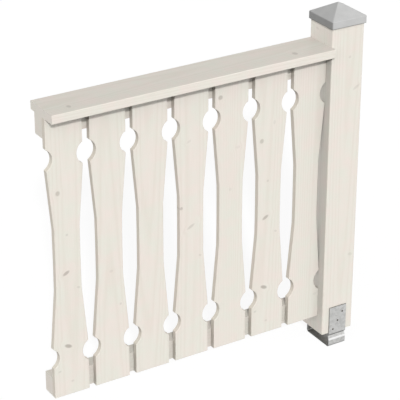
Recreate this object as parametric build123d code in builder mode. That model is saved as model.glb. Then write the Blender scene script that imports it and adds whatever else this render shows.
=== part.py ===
"""Bay of a wooden balcony railing.

Shaped slats stand on two rails under a flat handrail, beside a capped post in its strap bracket.

Frame: origin at the centre of the bracket's underside, on the post's axis. +Z is up, the slats run along X
towards the free end at -X, and their front faces look along -Y.
"""
import os

from build123d import *

# Post: square timber, held above the base by its bracket
post_width = 90.0
post_lift = 40.0
post_arris = 2.5
# How far the post's upper end stands above the handrail
post_over_handrail = 63.0

# Slats: shaped boards, evenly spaced from the free end up to the post
slat_count = 7
slat_width = 90.0
slat_gap = 18.0
slat_thickness = 14.0
slat_length = 707.0
slat_arris = 0.8
# From the post's front face back to the slats' front faces, and from its lower end up to their lower ends
slat_setback = 22.0
slat_lift = 45.0

# Slat outline: a round notch near each end of both sides, and a taper to a waist between the notches
notch_height = 52.0
notch_depth = 15.0
notch_from_bottom = 104.5
notch_from_top = 99.5
waist_inset = 12.8
waist_bow = 0.4
# Half the length of the waist, as a share of the way from its middle to a notch
waist_share = 0.31

# Rails behind the slats
rail_thickness = 34.0
upper_rail_height = 51.0
lower_rail_height = 50.0

# Handrail: flat board on the upper rail, which overhangs on both sides
handrail_width = 101.0
handrail_thickness = 21.0
handrail_arris = 1.5
# How far the handrail stands in front of the slats
handrail_overhang = 36.0

# Post cap: pressed metal pyramid with an upright skirt, blunt at its peak
cap_wall = 2.0
cap_clearance = 2.0
cap_skirt_height = 17.5
cap_rise = 27.5
cap_peak_width = 3.0
cap_corner_radius = 3.0
cap_fold_radius = 2.5
cap_seat_gap = 0.2
# Corner radius of the peak, as a share of its width
cap_peak_share = 0.4

# Bracket: steel strap bent to a U under the post, crimped inwards below the post's lower end
strap_width = 50.0
strap_thickness = 3.0
strap_bend_radius = 3.5
flange_height = 72.0
crimp_depth = 5.0
crimp_drop = 3.0
crimp_upper_height = 6.0
crimp_lower_height = 11.5
crimp_radius = 4.0
crimp_edge_radius = 2.0
# Screw holes on a diagonal of each flange, and the pilot holes behind them in the post
screw_count = 3
screw_hole_diameter = 5.0
screw_step_across = 13.4
screw_step_up = 22.4
screw_first_height = 9.0
pilot_diameter = 4.0
pilot_depth = 30.0
# Pair of holes for anchors in the bracket's base, across the railing
anchor_hole_diameter = 11.0
anchor_spacing = 44.0

# Extra length of every cut
overrun = 1.0

# Places worked out from the sizes above
post_half = post_width / 2
slat_pitch = slat_width + slat_gap
panel_length = slat_count * slat_pitch - slat_gap
panel_left = -post_half - panel_length
slat_front = slat_setback - post_half
slat_back = slat_front + slat_thickness
slat_bottom = post_lift + slat_lift
slat_top = slat_bottom + slat_length
handrail_front = slat_front - handrail_overhang
post_top = slat_top + handrail_thickness + post_over_handrail
front_face = Plane(origin=(0, -post_half, 0), x_dir=(1, 0, 0), z_dir=(0, -1, 0))
rear_face = Plane(origin=(0, post_half, 0), x_dir=(-1, 0, 0), z_dir=(0, 1, 0))

os.makedirs("parts", exist_ok=True)


def save(piece, name):
    """Labels a finished piece and writes it under the same name."""
    piece.label = name
    export_step(piece, f"parts/{name}.step")


def end_plane(front, bottom):
    """Returns the plane of the railing's free end, with its corner at the given front and bottom."""
    return Plane(origin=(panel_left, front, bottom), x_dir=(0, 1, 0), z_dir=(1, 0, 0))


# Slats, numbered from the free end towards the post
slat_half = slat_width / 2
notch_half = notch_height / 2
notch_floor = notch_depth - slat_half
lower_notch = notch_from_bottom
upper_notch = slat_length - notch_from_top
waist_middle = (lower_notch + upper_notch) / 2
waist_half = waist_share * (upper_notch - waist_middle)
waist_edge = waist_inset - slat_half
for number in range(slat_count):
    slat_middle = panel_left + slat_half + number * slat_pitch
    slat_plane = Plane(origin=(slat_middle, slat_front, slat_bottom), x_dir=(1, 0, 0), z_dir=(0, -1, 0))
    with BuildPart() as slat:
        with BuildSketch(slat_plane):
            with BuildLine():
                foot = Polyline((0, 0), (-slat_half, 0), (-slat_half, lower_notch - notch_half))
                low_notch = ThreePointArc(
                    foot @ 1, (notch_floor, lower_notch), (-slat_half, lower_notch + notch_half)
                )
                low_taper = Line(low_notch @ 1, (waist_edge, waist_middle - waist_half))
                waist = ThreePointArc(
                    low_taper @ 1,
                    (waist_edge + waist_bow, waist_middle),
                    (waist_edge, waist_middle + waist_half),
                )
                high_taper = Line(waist @ 1, (-slat_half, upper_notch - notch_half))
                high_notch = ThreePointArc(
                    high_taper @ 1, (notch_floor, upper_notch), (-slat_half, upper_notch + notch_half)
                )
                Polyline(high_notch @ 1, (-slat_half, slat_length), (0, slat_length))
                mirror(about=Plane.YZ)
            make_face()
        extrude(amount=-slat_thickness)
        chamfer(slat.faces().filter_by(Axis.Y).edges(), length=slat_arris)
    save(slat.part, f"slat_{number + 1}")

# Upper rail, under the handrail
with BuildPart() as upper_rail:
    with BuildSketch(end_plane(slat_back, slat_top - upper_rail_height)):
        Rectangle(rail_thickness, upper_rail_height, align=Align.MIN)
    extrude(amount=panel_length)
save(upper_rail.part, "upper_rail")

# Lower rail, level with the slats' lower ends
with BuildPart() as lower_rail:
    with BuildSketch(end_plane(slat_back, slat_bottom)):
        Rectangle(rail_thickness, lower_rail_height, align=Align.MIN)
    extrude(amount=panel_length)
save(lower_rail.part, "lower_rail")

# Handrail, on the upper rail and the slats, butted against the post
with BuildPart() as handrail:
    with BuildSketch(end_plane(handrail_front, slat_top)):
        Rectangle(handrail_width, handrail_thickness, align=Align.MIN)
    extrude(amount=panel_length)
    fillet(handrail.edges().filter_by(Axis.X), radius=handrail_arris)
save(handrail.part, "handrail")

# Screw places on a flange: across from the post's middle, and up from the bracket's underside
screw_places = []
for step in range(screw_count):
    across = (step - (screw_count - 1) / 2) * screw_step_across
    screw_places.append((across, post_lift + screw_first_height + step * screw_step_up))

# Post, with pilot holes behind both flanges
with BuildPart() as post:
    with BuildSketch(Plane.XY.offset(post_lift)):
        Rectangle(post_width, post_width)
    extrude(amount=post_top - post_lift)
    fillet(post.edges().filter_by(Axis.Z), radius=post_arris)
    for face in (front_face, rear_face):
        with BuildSketch(face):
            with Locations(*screw_places):
                Circle(pilot_diameter / 2)
        extrude(amount=-pilot_depth, mode=Mode.SUBTRACT)
save(post.part, "post")

# Post cap: the inside of its slopes comes down on the post's top edges
socket_half = post_half + cap_clearance
cap_half = socket_half + cap_wall
peak_half = cap_peak_width / 2
cap_slope = cap_rise / (cap_half - peak_half)
socket_top = post_top + cap_seat_gap - cap_slope * cap_clearance
# The slopes are as thick as the skirt, measured square to their faces
skirt_top = socket_top + cap_wall * ((1 + cap_slope**2) ** 0.5 - cap_slope)
skirt_bottom = skirt_top - cap_skirt_height
with BuildPart() as post_cap:
    with BuildSketch(Plane.XY.offset(skirt_bottom)):
        RectangleRounded(2 * cap_half, 2 * cap_half, cap_corner_radius)
    extrude(amount=cap_skirt_height)
    with BuildSketch(Plane.XY.offset(skirt_top)):
        RectangleRounded(2 * cap_half, 2 * cap_half, cap_corner_radius)
    with BuildSketch(Plane.XY.offset(skirt_top + cap_rise)):
        RectangleRounded(cap_peak_width, cap_peak_width, cap_peak_share * cap_peak_width)
    loft()
    fillet(post_cap.edges().filter_by_position(Axis.Z, skirt_top, skirt_top), radius=cap_fold_radius)
    with BuildSketch(Plane.XY.offset(skirt_bottom)):
        Rectangle(2 * socket_half, 2 * socket_half)
    extrude(amount=socket_top - skirt_bottom, mode=Mode.SUBTRACT)
    with BuildSketch(Plane.XY.offset(socket_top)):
        Rectangle(2 * socket_half, 2 * socket_half)
    with BuildSketch(Plane.XY.offset(socket_top + cap_slope * (socket_half - peak_half))):
        Rectangle(cap_peak_width, cap_peak_width)
    loft(mode=Mode.SUBTRACT)
save(post_cap.part, "post_cap")

# Bracket: the inner line of the strap from flange to flange, thickened outwards
crimp_top = post_lift - crimp_drop
crimp_tip = crimp_top - crimp_upper_height
crimp_foot = crimp_tip - crimp_lower_height
flange_line = [
    (post_half, strap_thickness),
    (post_half, crimp_foot),
    (post_half - crimp_depth, crimp_tip),
    (post_half, crimp_top),
    (post_half, post_lift + flange_height),
]
strap_line = [(-y, z) for y, z in reversed(flange_line)] + flange_line
flange_radii = [strap_bend_radius, crimp_edge_radius, crimp_radius, crimp_edge_radius]
with BuildPart() as post_bracket:
    with BuildSketch(Plane.YZ.offset(-strap_width / 2)):
        with BuildLine():
            FilletPolyline(*strap_line, radius=flange_radii[::-1] + flange_radii)
            offset(amount=strap_thickness, side=Side.RIGHT)
        make_face()
    extrude(amount=strap_width)
    for face in (front_face, rear_face):
        with BuildSketch(face):
            with Locations(*screw_places):
                Circle(screw_hole_diameter / 2)
        extrude(amount=strap_thickness + overrun, mode=Mode.SUBTRACT)
    with BuildSketch():
        with GridLocations(0, anchor_spacing, 1, 2):
            Circle(anchor_hole_diameter / 2)
    extrude(amount=strap_thickness + overrun, mode=Mode.SUBTRACT)
save(post_bracket.part, "post_bracket")
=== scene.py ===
"""Dresses one bay of a wooden balcony railing and sets it up in a plain studio.

The wood is white-glazed spruce, the post's cap is zinc sheet and its bracket is galvanised strap steel.
Lengths are in millimetres unless a name says otherwise, and colours are sRGB hex values.
"""
import logging
import math
from dataclasses import dataclass, field
from enum import Enum
from typing import Any

import bpy
from mathutils import Matrix, Vector


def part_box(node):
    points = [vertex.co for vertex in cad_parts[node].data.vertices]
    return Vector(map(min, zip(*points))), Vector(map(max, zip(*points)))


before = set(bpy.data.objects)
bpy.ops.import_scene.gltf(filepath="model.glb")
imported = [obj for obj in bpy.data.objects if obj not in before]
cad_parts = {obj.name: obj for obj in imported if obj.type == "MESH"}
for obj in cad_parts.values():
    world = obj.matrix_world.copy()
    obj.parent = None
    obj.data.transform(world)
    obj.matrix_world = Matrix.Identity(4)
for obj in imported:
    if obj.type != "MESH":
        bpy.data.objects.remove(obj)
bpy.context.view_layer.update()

log = logging.getLogger("railing")

Tree = bpy.types.NodeTree
Socket = bpy.types.NodeSocket
Material = bpy.types.Material

MM_PER_M = 1000.0
# Blender's wave pattern turns once every two pi, over a coordinate that it first multiplies by this
WAVE_FACTOR = 20.0
# Places of a mix node's colour inputs and output among its sockets
MIX_A, MIX_B, MIX_COLOUR = 6, 7, 2
# Places of its inputs for plain values
MIX_VALUE_A, MIX_VALUE_B = 2, 3
# Blender's noise goes from zero to one about this value
NOISE_MIDDLE = 0.5
# Steps of this share of a whole never come close to one another, so no two boards look alike
GOLDEN_SHARE = 0.618
# Side of the matrices that turn and place the camera
MATRIX_SIDE = 4
# A camera that isn't turned looks straight down, and looks level once it is turned up by these degrees
LEVEL_TURN = 90.0
# A hex colour: where each channel's digits start, their base and the highest value
HEX_PLACES = (1, 3, 5)
HEX_BASE = 16
HEX_FULL = 255
# The sRGB standard's curve: its straight part near black, and the power that it follows above that
SRGB_STRAIGHT_END = 0.04045
SRGB_STRAIGHT_SLOPE = 12.92
SRGB_SHIFT = 0.055
SRGB_POWER = 2.4


def linear(hex_colour: str) -> tuple[float, float, float, float]:
    """Turns an sRGB hex colour into linear light.

    Args:
        hex_colour: A hash sign and six hex digits.

    Returns:
        Linear red, green and blue, and an alpha of one.
    """
    written = [int(hex_colour[at:at + 2], HEX_BASE) / HEX_FULL for at in HEX_PLACES]
    red, green, blue = (
        level / SRGB_STRAIGHT_SLOPE
        if level <= SRGB_STRAIGHT_END
        else ((level + SRGB_SHIFT) / (1 + SRGB_SHIFT)) ** SRGB_POWER
        for level in written
    )
    return red, green, blue, 1.0


def add_node(
    tree: Tree, kind: str, inputs: dict[str | int, Any] | None = None, **settings: Any
) -> bpy.types.Node:
    """Adds a node, sets it up and fills its inputs.

    Args:
        tree: The tree that takes the node.
        kind: The node's type.
        inputs: What goes into each input, by its name or place: another node's output, or a value.
        settings: The node's own properties.

    Returns:
        The new node.
    """
    node = tree.nodes.new(kind)
    for name, value in settings.items():
        setattr(node, name, value)
    for key, value in (inputs or {}).items():
        if isinstance(value, Socket):
            tree.links.new(value, node.inputs[key])
        else:
            node.inputs[key].default_value = value
    return node


def new_material(name: str) -> tuple[Material, Tree]:
    """Makes a material with an empty node tree.

    Args:
        name: The material's name.

    Returns:
        The material and its tree.
    """
    material = bpy.data.materials.new(name)
    material.use_nodes = True
    material.node_tree.nodes.clear()
    return material, material.node_tree


def place_in_mm(tree: Tree) -> Socket:
    """Adds the place on the railing to a material.

    Args:
        tree: The material's tree.

    Returns:
        The output that holds the place, in millimetres.
    """
    place = add_node(tree, "ShaderNodeTexCoord").outputs["Object"]
    return add_node(
        tree, "ShaderNodeVectorMath", {0: place, "Scale": MM_PER_M}, operation="SCALE"
    ).outputs[0]


def near_level(tree: Tree, place: Socket, level: float, reach: float) -> Socket:
    """Adds a level band round a piece to a material.

    Args:
        tree: The material's tree.
        place: The place on the railing, in millimetres.
        level: The height of the band's middle.
        reach: How far up and down it goes, fading out over the outer half.

    Returns:
        The output that is one in the band and zero elsewhere.
    """
    height = add_node(tree, "ShaderNodeSeparateXYZ", {0: place}).outputs["Z"]
    above = add_node(tree, "ShaderNodeMath", {0: height, 1: level}, operation="SUBTRACT").outputs[0]
    away = add_node(tree, "ShaderNodeMath", {0: above}, operation="ABSOLUTE").outputs[0]
    ends = {"Value": away, "From Min": reach, "From Max": reach / 2}
    return add_node(tree, "ShaderNodeMapRange", ends, interpolation_type="SMOOTHSTEP").outputs[0]


def dress(node: str, material: Material) -> None:
    """Gives a piece one finish all over, and reports it.

    Args:
        node: The piece's name.
        material: Its finish.
    """
    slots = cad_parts[node].data.materials
    slots.clear()
    slots.append(material)
    log.info("%s: %s", node, material.name)


def box_in_mm(node: str) -> tuple[Vector, Vector]:
    """Returns the lowest and highest corner of a piece, in millimetres."""
    lowest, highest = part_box(node)
    return lowest * MM_PER_M, highest * MM_PER_M


class Run(Enum):
    """The axis that a piece's grain runs along."""

    UPRIGHT = "Z"
    LENGTHWAYS = "X"


class Face(Enum):
    """A face of the railing, by the way that it looks."""

    FRONT = (0, -1, 0)
    TOP = (0, 0, 1)
    LEFT = (-1, 0, 0)


@dataclass(frozen=True)
class Knot:
    """The end of a branch in the wood.

    Attributes:
        place: Its middle, from the piece's lowest corner.
        width: Its size along the face.
        height: Its size across that.
        lean: How far its width turns from level, in degrees.
        depth: How much of its own colour shows through the glaze.
        face: The face that it shows on.
    """

    place: tuple[float, float, float]
    width: float
    height: float
    lean: float = 0.0
    depth: float = 0.15
    face: Face = Face.FRONT

    def turn(self) -> Vector:
        """Returns its turn about each axis, in radians."""
        return Vector(self.face.value) * math.radians(self.lean)

    def radii(self, reach: float) -> Vector:
        """Gives its half sizes.

        Args:
            reach: How far it goes into the wood.

        Returns:
            Its half size along each axis.
        """
        along, across = self.width / 2, self.height / 2
        if self.face is Face.TOP:
            return Vector((along, across, reach))
        if self.face is Face.LEFT:
            return Vector((reach, along, across))
        return Vector((along, reach, across))


@dataclass(frozen=True)
class Heart:
    """Where the middle of the log lay, about which a piece's growth rings run.

    Attributes:
        place: A point on the log's middle line.
        tilt: How far that line leans from the piece's run, in degrees.
    """

    place: Vector
    tilt: float

    def turn(self) -> Vector:
        """Returns the line's turn about each axis, in radians."""
        return Vector((1, 1, 1)) * math.radians(self.tilt)


@dataclass(frozen=True)
class GlazedSpruce:
    """White-glazed spruce: planed boards wiped with a thin white glaze.

    The eye gets a warm white with hardly any shine, which drifts a little between rosy and greenish.
    Growth rings and fibres show through it as faint streaks along the grain and as arcs on the ends, and
    knots show as grey-brown spots.
    """

    rosy_glaze: str = "#F4EBE3"
    green_glaze: str = "#F0EFE5"
    late_wood: str = "#D2C6B4"
    knot_wood: str = "#6F6152"
    ring_width: float = 4.5
    # Single fibres are too fine to show, so their streaks are drawn this wide
    streak_width: float = 2.6
    patch_width: float = 45.0
    # How far the patches' pattern goes from its middle value, for the whole drift between the two tones
    patch_reach: float = 0.17
    # How many layers, each finer than the last, the patterns are made of
    ring_layers: float = 2.0
    streak_layers: float = 3.0
    patch_layers: float = 2.0
    # How many times longer than wide the figure is
    stretch: float = 20.0
    wander: float = 7.0
    wander_share: float = 0.3
    late_wood_power: float = 2.5
    ring_share: float = 0.11
    streak_share: float = 0.18
    patch_share: float = 0.1
    # Knots go this far into the wood
    knot_reach: float = 60.0
    # A knot fades out between these shares of its size, and bends the grain up to the last one
    knot_inner_share: float = 0.55
    knot_outer_share: float = 1.2
    bend_outer_share: float = 3.5
    bend_share: float = 0.55
    smoothest: float = 0.48
    roughest: float = 0.62
    relief_m: float = 0.0002
    relief_share: float = 0.2

    def material(
        self,
        name: str,
        run: Run,
        heart: Heart,
        corner: Vector,
        knots: tuple[Knot, ...] = (),
        cut_and_shade_share: float = 0.0,
    ) -> Material:
        """Makes the finish of one piece.

        Args:
            name: The piece's name.
            run: The axis that its grain runs along.
            heart: The middle of the log that it was sawn from.
            corner: The piece's lowest corner.
            knots: The knots that show on it.
            cut_and_shade_share: How much the sides between its front and back look like late wood,
                partly for their rougher cut and partly as painted shade.

        Returns:
            The material.
        """
        material, tree = new_material(f"white-glazed spruce {name}")
        place = place_in_mm(tree)
        grain, spots = self.with_knots(tree, place, knots, corner)
        stretch = Vector((1, 1, 1))
        stretch["XYZ".index(run.value)] = self.stretch
        figure = add_node(
            tree,
            "ShaderNodeMapping",
            {"Vector": grain, "Location": heart.place, "Rotation": heart.turn(), "Scale": stretch},
            vector_type="TEXTURE",
        ).outputs[0]
        rings = add_node(
            tree,
            "ShaderNodeTexWave",
            {
                "Vector": figure,
                "Scale": math.tau / WAVE_FACTOR / self.ring_width,
                "Distortion": self.wander,
                "Detail": self.ring_layers,
                "Detail Scale": self.wander_share,
            },
            wave_type="RINGS",
            rings_direction=run.value,
            wave_profile="SIN",
        ).outputs["Fac"]
        late_wood = add_node(
            tree, "ShaderNodeMath", {0: rings, 1: self.late_wood_power}, operation="POWER"
        ).outputs[0]
        streaks = add_node(
            tree,
            "ShaderNodeTexNoise",
            {"Vector": figure, "Scale": 1 / self.streak_width, "Detail": self.streak_layers},
        ).outputs["Fac"]
        patches = add_node(
            tree,
            "ShaderNodeTexNoise",
            {"Vector": place, "Scale": 1 / self.patch_width, "Detail": self.patch_layers},
        ).outputs["Fac"]
        # Sides that face neither front nor back are drawn darker: partly their rougher cut, partly
        # painted shade of the gaps
        facing = add_node(tree, "ShaderNodeNewGeometry").outputs["True Normal"]
        forwards = add_node(
            tree, "ShaderNodeVectorMath", {0: facing, 1: Face.FRONT.value}, operation="DOT_PRODUCT"
        ).outputs["Value"]
        flat = add_node(tree, "ShaderNodeMath", {0: forwards}, operation="ABSOLUTE").outputs[0]
        sides_cut_and_shade = add_node(tree, "ShaderNodeMath", {0: 1.0, 1: flat}, operation="SUBTRACT").outputs[0]
        shade: Socket | float = 0.0
        shares = (
            (late_wood, self.ring_share),
            (streaks, self.streak_share),
            (patches, self.patch_share),
            (sides_cut_and_shade, cut_and_shade_share),
        )
        for pattern, share in shares:
            shade = add_node(
                tree, "ShaderNodeMath", {0: pattern, 1: share, 2: shade}, operation="MULTIPLY_ADD"
            ).outputs[0]
        drift = add_node(
            tree,
            "ShaderNodeMapRange",
            {
                "Value": patches,
                "From Min": NOISE_MIDDLE - self.patch_reach,
                "From Max": NOISE_MIDDLE + self.patch_reach,
            },
        ).outputs[0]
        glaze = add_node(
            tree,
            "ShaderNodeMix",
            {"Factor": drift, MIX_A: linear(self.rosy_glaze), MIX_B: linear(self.green_glaze)},
            data_type="RGBA",
        ).outputs[MIX_COLOUR]
        wood = add_node(
            tree,
            "ShaderNodeMix",
            {"Factor": shade, MIX_A: glaze, MIX_B: linear(self.late_wood)},
            data_type="RGBA",
        ).outputs[MIX_COLOUR]
        colour = add_node(
            tree,
            "ShaderNodeMix",
            {"Factor": spots, MIX_A: wood, MIX_B: linear(self.knot_wood)},
            data_type="RGBA",
        ).outputs[MIX_COLOUR]
        roughness = add_node(
            tree,
            "ShaderNodeMapRange",
            {"Value": streaks, "To Min": self.smoothest, "To Max": self.roughest},
        ).outputs[0]
        relief = add_node(
            tree,
            "ShaderNodeBump",
            {"Height": shade, "Strength": self.relief_share, "Distance": self.relief_m},
            invert=True,
        ).outputs[0]
        shader = add_node(
            tree,
            "ShaderNodeBsdfPrincipled",
            {"Base Color": colour, "Roughness": roughness, "Normal": relief},
        )
        add_node(tree, "ShaderNodeOutputMaterial", {"Surface": shader.outputs[0]})
        return material

    def with_knots(
        self, tree: Tree, place: Socket, knots: tuple[Knot, ...], corner: Vector
    ) -> tuple[Socket, Socket | float]:
        """Draws knots and bends the grain aside round them.

        Args:
            tree: The material's tree.
            place: The place on the railing, in millimetres.
            knots: The knots.
            corner: The corner that they are placed from.

        Returns:
            The place to read the grain at, and how much of the knots' colour shows.
        """
        grain: Socket = place
        spots: Socket | float = 0.0
        for knot in knots:
            middle = corner + Vector(knot.place)
            within = add_node(
                tree,
                "ShaderNodeMapping",
                {
                    "Vector": place,
                    "Location": middle,
                    "Rotation": knot.turn(),
                    "Scale": knot.radii(self.knot_reach),
                },
                vector_type="TEXTURE",
            ).outputs[0]
            away = add_node(
                tree, "ShaderNodeVectorMath", {0: within}, operation="LENGTH"
            ).outputs["Value"]
            spot = add_node(
                tree,
                "ShaderNodeMapRange",
                {
                    "Value": away,
                    "From Min": self.knot_outer_share,
                    "From Max": self.knot_inner_share,
                    "To Max": knot.depth,
                },
                interpolation_type="SMOOTHSTEP",
            ).outputs[0]
            spots = add_node(
                tree, "ShaderNodeMath", {0: spots, 1: spot}, operation="MAXIMUM"
            ).outputs[0]
            bend = add_node(
                tree,
                "ShaderNodeMapRange",
                {
                    "Value": away,
                    "From Min": self.bend_outer_share,
                    "From Max": self.knot_inner_share,
                    "To Max": self.bend_share,
                },
                interpolation_type="SMOOTHSTEP",
            ).outputs[0]
            inwards = add_node(
                tree, "ShaderNodeVectorMath", {0: middle, 1: place}, operation="SUBTRACT"
            ).outputs[0]
            pull = add_node(
                tree, "ShaderNodeVectorMath", {0: inwards, "Scale": bend}, operation="SCALE"
            ).outputs[0]
            grain = add_node(
                tree, "ShaderNodeVectorMath", {0: grain, 1: pull}, operation="ADD"
            ).outputs[0]
        return grain, spots


@dataclass(frozen=True)
class ZincSheet:
    """Dull zinc-coated sheet, pressed to shape.

    The eye gets a neutral grey that takes the studio's tones face by face, softly blurred, with faint
    clouds. Its lowest band is painted darker, as painted shade along the skirt's lower edge.
    """

    light: str = "#DCDCDB"
    dark: str = "#CECECD"
    # Painted shade along the lower edge of the skirt
    painted_rim_shade: str = "#B2B2B0"
    painted_rim_shade_height: float = 1.6
    cloud_width: float = 22.0
    cloud_layers: float = 4.0
    smoothest: float = 0.42
    roughest: float = 0.56
    # Dents of rolling and pressing, drawn a little wider than they are so that they show
    dent_width: float = 6.0
    relief_m: float = 0.0001
    relief_share: float = 0.15

    def material(self, name: str, bottom: float) -> Material:
        """Makes the finish of one piece.

        Args:
            name: The piece's name.
            bottom: The height of its lowest edge, where the painted shade lies.

        Returns:
            The material.
        """
        material, tree = new_material(f"zinc sheet {name}")
        place = place_in_mm(tree)
        # Painted shade: a darker band along the skirt's lower edge
        painted_rim_shade = near_level(tree, place, bottom, self.painted_rim_shade_height)
        clouds = add_node(
            tree,
            "ShaderNodeTexNoise",
            {"Vector": place, "Scale": 1 / self.cloud_width, "Detail": self.cloud_layers},
        ).outputs["Fac"]
        dents = add_node(
            tree, "ShaderNodeTexNoise", {"Vector": place, "Scale": 1 / self.dent_width}
        ).outputs["Fac"]
        sheet = add_node(
            tree,
            "ShaderNodeMix",
            {"Factor": clouds, MIX_A: linear(self.light), MIX_B: linear(self.dark)},
            data_type="RGBA",
        ).outputs[MIX_COLOUR]
        colour = add_node(
            tree,
            "ShaderNodeMix",
            {"Factor": painted_rim_shade, MIX_A: sheet, MIX_B: linear(self.painted_rim_shade)},
            data_type="RGBA",
        ).outputs[MIX_COLOUR]
        roughness = add_node(
            tree,
            "ShaderNodeMapRange",
            {"Value": clouds, "To Min": self.smoothest, "To Max": self.roughest},
        ).outputs[0]
        relief = add_node(
            tree,
            "ShaderNodeBump",
            {"Height": dents, "Strength": self.relief_share, "Distance": self.relief_m},
        ).outputs[0]
        shader = add_node(
            tree,
            "ShaderNodeBsdfPrincipled",
            {"Base Color": colour, "Metallic": 1.0, "Roughness": roughness, "Normal": relief},
        )
        add_node(tree, "ShaderNodeOutputMaterial", {"Surface": shader.outputs[0]})
        return material


@dataclass(frozen=True)
class GalvanisedSteel:
    """Hot-dip galvanised strap steel.

    The eye gets a light grey with a faint patchwork of zinc crystals, each a little lighter or duller.
    A bright line along the bend is a painted highlight, and the darker band at the bottom is painted
    shade for the base plate under the post.
    """

    light: str = "#DBDBD9"
    dark: str = "#CCCCCA"
    # Painted shade: the bottom of the bracket, inside under the post and along its lowest bend, takes
    # this darker colour
    painted_foot_shade: str = "#8E8E8B"
    painted_foot_shade_height: float = 3.9
    # Colour of the painted highlight along the bend, which stands in for a glint
    bend: str = "#FAFAF9"
    # Height of the bend above the bottom, and how far its painted highlight goes to either side
    painted_highlight_height: float = 20.7
    painted_highlight_reach: float = 3.4
    crystal_width: float = 5.0
    smoothest: float = 0.36
    roughest: float = 0.52
    relief_m: float = 0.0001
    relief_share: float = 0.15

    def material(self, name: str, bottom: float) -> Material:
        """Makes the finish of one piece.

        Args:
            name: The piece's name.
            bottom: The height of its lowest edge, about which the painted shade lies.

        Returns:
            The material.
        """
        material, tree = new_material(f"galvanised steel {name}")
        place = place_in_mm(tree)
        # Painted shade round the bottom of the bracket
        painted_foot_shade = near_level(tree, place, bottom, self.painted_foot_shade_height)
        # Painted highlight: a bright line along the bend, where a glint would be
        bend = near_level(tree, place, bottom + self.painted_highlight_height, self.painted_highlight_reach)
        crystals = add_node(
            tree, "ShaderNodeTexVoronoi", {"Vector": place, "Scale": 1 / self.crystal_width}
        ).outputs["Color"]
        tone = add_node(tree, "ShaderNodeSeparateColor", {0: crystals}).outputs[0]
        zinc = add_node(
            tree,
            "ShaderNodeMix",
            {"Factor": tone, MIX_A: linear(self.light), MIX_B: linear(self.dark)},
            data_type="RGBA",
        ).outputs[MIX_COLOUR]
        colour = zinc
        for band, band_colour in ((bend, self.bend), (painted_foot_shade, self.painted_foot_shade)):
            colour = add_node(
                tree,
                "ShaderNodeMix",
                {"Factor": band, MIX_A: colour, MIX_B: linear(band_colour)},
                data_type="RGBA",
            ).outputs[MIX_COLOUR]
        roughness = add_node(
            tree,
            "ShaderNodeMapRange",
            {"Value": tone, "To Min": self.smoothest, "To Max": self.roughest},
        ).outputs[0]
        relief = add_node(
            tree,
            "ShaderNodeBump",
            {"Height": tone, "Strength": self.relief_share, "Distance": self.relief_m},
        ).outputs[0]
        shader = add_node(
            tree,
            "ShaderNodeBsdfPrincipled",
            {"Base Color": colour, "Metallic": 1.0, "Roughness": roughness, "Normal": relief},
        )
        add_node(tree, "ShaderNodeOutputMaterial", {"Surface": shader.outputs[0]})
        return material


def slat_knots(shift: float) -> tuple[Knot, ...]:
    """Gives the knots of the slats with the most.

    Args:
        shift: How far they all lie to the right of their places on the first slat.

    Returns:
        The knots.
    """
    return (
        Knot((25 + shift, 0, 523), width=12, height=13, depth=0.3),
        Knot((44 + shift, 0, 416), width=7, height=7, depth=0.16),
        Knot((39 + shift, 0, 320), width=20, height=9, lean=28, depth=0.4),
        Knot((69 + shift, 0, 276), width=10, height=6, lean=-20, depth=0.14),
        Knot((38 + shift, 0, 130), width=21, height=10, lean=-24, depth=0.46),
        Knot((14 + shift, 0, 68), width=9, height=6, lean=20, depth=0.16),
        Knot((46 + shift, 0, 34), width=9, height=6, depth=0.14),
    )


@dataclass
class SlatInfill:
    """The row of shaped slats, numbered from the free end.

    Attributes:
        finish: The wood.
        count: How many slats there are.
        heart_behind: From the slats' backs to the middle of their logs, at the least.
        heart_spread: How much further the middle lies on some of them.
        heart_aside: How far to either side it lies, at most.
        heart_tilt: How far it leans, at most, in degrees.
        cut_and_shade_share: How much their sides, cut to a shape and so rougher, look like late wood;
            this is partly painted shade of the gaps between the slats.
        knots: The knots of each slat that has some.
    """

    finish: GlazedSpruce
    count: int = 7
    heart_behind: float = 25.0
    heart_spread: float = 60.0
    heart_aside: float = 35.0
    heart_tilt: float = 1.2
    cut_and_shade_share: float = 0.35
    knots: dict[int, tuple[Knot, ...]] = field(
        default_factory=lambda: {
            1: slat_knots(0),
            2: (
                Knot((46, 0, 293), width=11, height=8, depth=0.1),
                Knot((69, 0, 201), width=7, height=7, depth=0.15),
            ),
            4: (
                Knot((17, 0, 404), width=9, height=9, depth=0.32),
                Knot((43, 0, 351), width=24, height=8, lean=28, depth=0.2),
                Knot((38, 0, 569), width=14, height=6, lean=25, depth=0.1),
                Knot((68, 0, 269), width=9, height=6, lean=-25, depth=0.12),
            ),
            5: (
                Knot((14, 0, 659), width=13, height=12, depth=0.34),
                Knot((63, 0, 524), width=14, height=8, depth=0.08),
                Knot((43, 0, 420), width=9, height=9, depth=0.08),
            ),
            6: (*slat_knots(-4), Knot((56, 0, 564), width=8, height=12, depth=0.1)),
            7: (Knot((79, 0, 67), width=12, height=8, depth=0.08),),
        }
    )

    def dress(self) -> None:
        """Gives each slat its own board of the wood."""
        for number in range(1, self.count + 1):
            name = f"slat_{number}"
            lowest, highest = box_in_mm(name)
            share = number * GOLDEN_SHARE % 1
            heart = Vector((
                (lowest.x + highest.x) / 2 + (2 * share - 1) * self.heart_aside,
                highest.y + self.heart_behind + (1 - share) * self.heart_spread,
                number * self.finish.stretch * self.finish.patch_width,
            ))
            tilt = (2 * share - 1) * self.heart_tilt
            knots = self.knots.get(number, ())
            material = self.finish.material(
                name, Run.UPRIGHT, Heart(heart, tilt), lowest, knots, self.cut_and_shade_share
            )
            dress(name, material)


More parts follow.
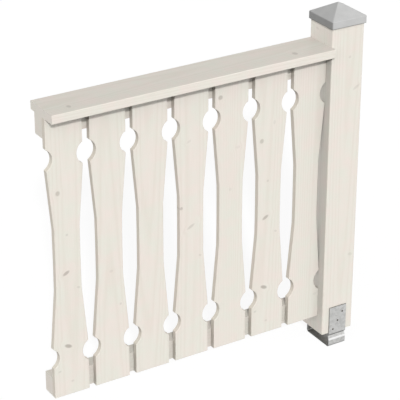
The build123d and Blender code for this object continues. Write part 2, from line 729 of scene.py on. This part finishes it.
@dataclass
class Rails:
    """The two rails behind the slats.

    Attributes:
        finish: The wood.
        heart_below: From a rail's middle down to the middle of its log.
        heart_behind: From a rail's middle back to the middle of its log.
        heart_tilt: How far that leans, in degrees.
    """

    finish: GlazedSpruce
    heart_below: float = 30.0
    heart_behind: float = 45.0
    heart_tilt: float = 0.8

    def dress(self) -> None:
        """Gives both rails the wood, with the grain lengthways."""
        for name in ("upper_rail", "lower_rail"):
            lowest, highest = box_in_mm(name)
            heart = (lowest + highest) / 2 + Vector((0, self.heart_behind, -self.heart_below))
            material = self.finish.material(
                name, Run.LENGTHWAYS, Heart(heart, self.heart_tilt), lowest
            )
            dress(name, material)


@dataclass
class Handrail:
    """The flat handrail.

    Attributes:
        finish: The wood.
        heart_below: From its underside down to the middle of its log.
        heart_back: From its front edge back to the middle of its log.
        heart_tilt: How far that leans, in degrees.
        knots: The knots on its top.
    """

    finish: GlazedSpruce
    heart_below: float = 40.0
    heart_back: float = 62.0
    heart_tilt: float = 0.7
    knots: tuple[Knot, ...] = (
        Knot((55, 27, 21), width=11, height=16, depth=0.24, face=Face.TOP),
        Knot((644, 30, 21), width=14, height=18, depth=0.26, face=Face.TOP),
    )

    def dress(self) -> None:
        """Gives the handrail the wood, with the grain lengthways."""
        lowest, _ = box_in_mm("handrail")
        heart = lowest + Vector((0, self.heart_back, -self.heart_below))
        material = self.finish.material(
            "handrail", Run.LENGTHWAYS, Heart(heart, self.heart_tilt), lowest, self.knots
        )
        dress("handrail", material)


@dataclass
class Post:
    """The square post, with the middle of the log inside it.

    Attributes:
        finish: The wood.
        heart_aside: From its axis to the middle of the log, along the railing.
        heart_behind: From its axis to the middle of the log, across the railing.
        heart_tilt: How far that leans, in degrees.
        hole_first: The lowest screw hole of the front, from the post's lowest corner.
        hole_step: From each screw hole to the next.
        hole_count: How many screw holes there are.
        hole_shade_width: Breadth of the dark spot painted round each hole, as painted shade inside the
            hole.
        hole_shade_depth: How strong those painted spots are.
        knots: The knots on its front and left side.
    """

    finish: GlazedSpruce
    heart_aside: float = 9.0
    heart_behind: float = 14.0
    heart_tilt: float = 0.6
    hole_first: tuple[float, float, float] = (31.6, 0.0, 9.0)
    hole_step: tuple[float, float, float] = (13.4, 0.0, 22.4)
    hole_count: int = 3
    hole_shade_width: float = 7.0
    hole_shade_depth: float = 0.85
    knots: tuple[Knot, ...] = (
        Knot((52, 0, 740), width=9, height=8, depth=0.12),
        Knot((74, 0, 659), width=22, height=8, lean=30, depth=0.14),
        Knot((77, 0, 210), width=14, height=9, lean=-20, depth=0.12),
        Knot((0, 62, 802), width=14, height=7, depth=0.1, face=Face.LEFT),
    )

    def painted_hole_shade(self) -> tuple[Knot, ...]:
        """Returns painted shade round the front's screw holes, drawn as knots, so that the holes look
        dark.
        """
        first, step = Vector(self.hole_first), Vector(self.hole_step)
        return tuple(
            Knot(tuple(first + number * step), self.hole_shade_width, self.hole_shade_width, depth=self.hole_shade_depth)
            for number in range(self.hole_count)
        )

    def dress(self) -> None:
        """Gives the post the wood, with its knots and painted shade round its screw holes."""
        lowest, highest = box_in_mm("post")
        heart = (lowest + highest) / 2 + Vector((self.heart_aside, self.heart_behind, 0))
        # Painted shade: dark spots on the wood behind the bracket's screw holes
        knots = self.painted_hole_shade() + self.knots
        material = self.finish.material(
            "post", Run.UPRIGHT, Heart(heart, self.heart_tilt), lowest, knots
        )
        dress("post", material)


@dataclass
class PostCap:
    """The pyramid cap on the post.

    Attributes:
        finish: The metal.
    """

    finish: ZincSheet

    def dress(self) -> None:
        """Gives the cap its sheet metal."""
        lowest, _ = box_in_mm("post_cap")
        dress("post_cap", self.finish.material("post_cap", lowest.z))


@dataclass
class PostBracket:
    """The strap bracket under the post.

    Attributes:
        finish: The metal.
    """

    finish: GalvanisedSteel

    def dress(self) -> None:
        """Gives the bracket its galvanising."""
        lowest, _ = box_in_mm("post_bracket")
        dress("post_bracket", self.finish.material("post_bracket", lowest.z))


@dataclass
class Studio:
    """A white floor, a soft key lamp beside the camera, a weak lamp behind, fill light and the camera.

    Attributes:
        floor_half_m: Half the floor's side.
        floor_white: How bright the floor is before any lamp reaches it.
        floor_shadow: The part of its colour that a shadow takes away.
        fill: Brightness of the soft light from high up at the left and low down at the right, then from
            high up at the front and low down at the back. There is none straight from above or below.
        key_strength: Strength of the key lamp.
        key_from: From the railing towards the key lamp.
        back_strength: Strength of the lamp behind the railing.
        back_from: From the railing towards that lamp.
        lamp_angle: Breadth of both lamps as the railing sees them, in degrees.
        thrown_light: The most light that one board throws on to another.
        shine: Mean brightness of the studio in the metal.
        shine_slope: How that brightness grows towards the right, the back and the top.
        ground_tone: How much of that brightness is left straight below.
        ground_edge: The sine of the dip at which the metal starts to show the ground.
        eye: The camera's place.
        heading: How far the camera looks to the right of straight at the slats, in degrees.
        dip: How far it looks down, in degrees.
        roll: How far it is turned about its own line of sight, in degrees.
        lens: Its focal length.
        sensor: The width of its picture.
    """

    floor_half_m: float = 40.0
    floor_white: float = 0.885
    floor_shadow: str = "#707070"
    fill: tuple[float, float, float] = (1.06, 0.98, 0.0)
    key_strength: float = 1.76
    key_from: tuple[float, float, float] = (-0.376, -0.77, 0.54)
    back_strength: float = 1.1
    back_from: tuple[float, float, float] = (0.6, 0.797, 0.07)
    lamp_angle: float = 3.0
    thrown_light: float = 0.12
    shine: float = 0.674
    shine_slope: tuple[float, float, float] = (0.29, -0.18, 0.14)
    ground_tone: float = 0.25
    ground_edge: float = -0.6
    eye: tuple[float, float, float] = (-2316.8, -3167.8, 2322.2)
    heading: float = 31.478
    dip: float = 26.315
    roll: float = 0.089
    lens: float = 159.608
    sensor: float = 36.0

    def build(self) -> None:
        """Builds the floor, the lights and the camera."""
        self.lay_floor()
        self.hang_lamp("key", self.key_strength, self.key_from)
        self.hang_lamp("back", self.back_strength, self.back_from)
        self.fill_world()
        self.set_camera()
        scene = bpy.context.scene
        scene.view_settings.view_transform = "Standard"
        # Light thrown on from board to board is held down: in full it fills the gaps, which are dark
        scene.cycles.diffuse_bounces = 1
        scene.cycles.sample_clamp_indirect = self.thrown_light

    def lay_floor(self) -> None:
        """Lays a floor that looks white and keeps a faint shadow."""
        half = self.floor_half_m
        mesh = bpy.data.meshes.new("floor")
        corners = [(-half, -half, 0), (half, -half, 0), (half, half, 0), (-half, half, 0)]
        mesh.from_pydata(corners, [], [range(len(corners))])
        floor = bpy.data.objects.new("floor", mesh)
        bpy.context.scene.collection.objects.link(floor)
        material, tree = new_material("studio floor")
        shaded = add_node(
            tree, "ShaderNodeBsdfDiffuse", {"Color": linear(self.floor_shadow)}
        ).outputs[0]
        white = add_node(tree, "ShaderNodeEmission", {"Strength": self.floor_white}).outputs[0]
        surface = add_node(tree, "ShaderNodeAddShader", {0: white, 1: shaded})
        add_node(tree, "ShaderNodeOutputMaterial", {"Surface": surface.outputs[0]})
        material.cycles.emission_sampling = "NONE"
        mesh.materials.append(material)
        # The fill light also comes from below, through the floor
        floor.visible_diffuse = False
        floor.visible_glossy = False
        floor.visible_shadow = False

    def hang_lamp(self, name: str, strength: float, way: tuple[float, float, float]) -> None:
        """Hangs one lamp, far enough off to light the whole railing alike.

        Args:
            name: The lamp's name.
            strength: Its strength.
            way: From the railing towards it.
        """
        light = bpy.data.lights.new(name, "SUN")
        light.energy = strength
        light.angle = math.radians(self.lamp_angle)
        lamp = bpy.data.objects.new(name, light)
        lamp.rotation_mode = "QUATERNION"
        lamp.rotation_quaternion = Vector(way).to_track_quat("Z", "Y")
        # The metal shows only the studio's soft tones: a lamp's glint on the cap would be plain white
        lamp.visible_glossy = False
        bpy.context.scene.collection.objects.link(lamp)

    def fill_world(self) -> None:
        """Fills the studio with soft light, white to the camera and a slope of tones to the metal."""
        world = bpy.data.worlds.new("studio")
        world.use_nodes = True
        tree = world.node_tree
        tree.nodes.clear()
        seen = add_node(tree, "ShaderNodeLightPath").outputs
        way = add_node(tree, "ShaderNodeTexCoord").outputs["Generated"]
        height = add_node(tree, "ShaderNodeSeparateXYZ", {0: way}).outputs["Z"]
        below = add_node(tree, "ShaderNodeMath", {0: height, 1: -1.0}, operation="MULTIPLY").outputs[0]
        side = add_node(tree, "ShaderNodeMath", {0: below}, operation="SIGN").outputs[0]
        across = add_node(
            tree, "ShaderNodeVectorMath", {0: way, "Scale": side}, operation="SCALE"
        ).outputs[0]
        walls = add_node(
            tree, "ShaderNodeVectorMath", {0: across, 1: (0, 0, 0)}, operation="MAXIMUM"
        ).outputs[0]
        fill, slope = (
            add_node(
                tree, "ShaderNodeVectorMath", {0: along, 1: share}, operation="DOT_PRODUCT"
            ).outputs["Value"]
            for along, share in ((walls, self.fill), (way, self.shine_slope))
        )
        ground = add_node(
            tree,
            "ShaderNodeMapRange",
            {
                "Value": height,
                "From Min": -1.0,
                "From Max": self.ground_edge,
                "To Min": self.ground_tone,
            },
        ).outputs[0]
        tones = add_node(
            tree, "ShaderNodeMath", {0: slope, 1: self.shine}, operation="ADD"
        ).outputs[0]
        shine = add_node(
            tree, "ShaderNodeMath", {0: tones, 1: ground}, operation="MULTIPLY"
        ).outputs[0]
        lit = add_node(
            tree,
            "ShaderNodeMix",
            {"Factor": seen["Is Glossy Ray"], MIX_VALUE_A: fill, MIX_VALUE_B: shine},
        ).outputs[0]
        shown = add_node(
            tree,
            "ShaderNodeMix",
            {"Factor": seen["Is Camera Ray"], MIX_VALUE_A: lit, MIX_VALUE_B: 1.0},
        ).outputs[0]
        sky = add_node(tree, "ShaderNodeBackground", {"Color": linear("#FFFFFF"), "Strength": shown})
        add_node(tree, "ShaderNodeOutputWorld", {"Surface": sky.outputs[0]})
        bpy.context.scene.world = world

    def set_camera(self) -> None:
        """Sets the camera where the picture was taken from."""
        lens = bpy.data.cameras.new("camera")
        lens.lens = self.lens
        lens.sensor_width = self.sensor
        camera = bpy.data.objects.new("camera", lens)
        place = Matrix.Translation(Vector(self.eye) / MM_PER_M)
        heading = Matrix.Rotation(-math.radians(self.heading), MATRIX_SIDE, "Z")
        dip = Matrix.Rotation(math.radians(LEVEL_TURN - self.dip), MATRIX_SIDE, "X")
        roll = Matrix.Rotation(math.radians(self.roll), MATRIX_SIDE, "Z")
        camera.matrix_world = place @ heading @ dip @ roll
        bpy.context.scene.collection.objects.link(camera)
        bpy.context.scene.camera = camera


def main() -> None:
    """Dresses the railing piece by piece and sets up the studio."""
    logging.basicConfig(level=logging.INFO, format="%(message)s")
    spruce = GlazedSpruce()
    SlatInfill(spruce).dress()
    Rails(spruce).dress()
    Handrail(spruce).dress()
    Post(spruce).dress()
    PostCap(ZincSheet()).dress()
    PostBracket(GalvanisedSteel()).dress()
    Studio().build()


if __name__ == "__main__":
    main()
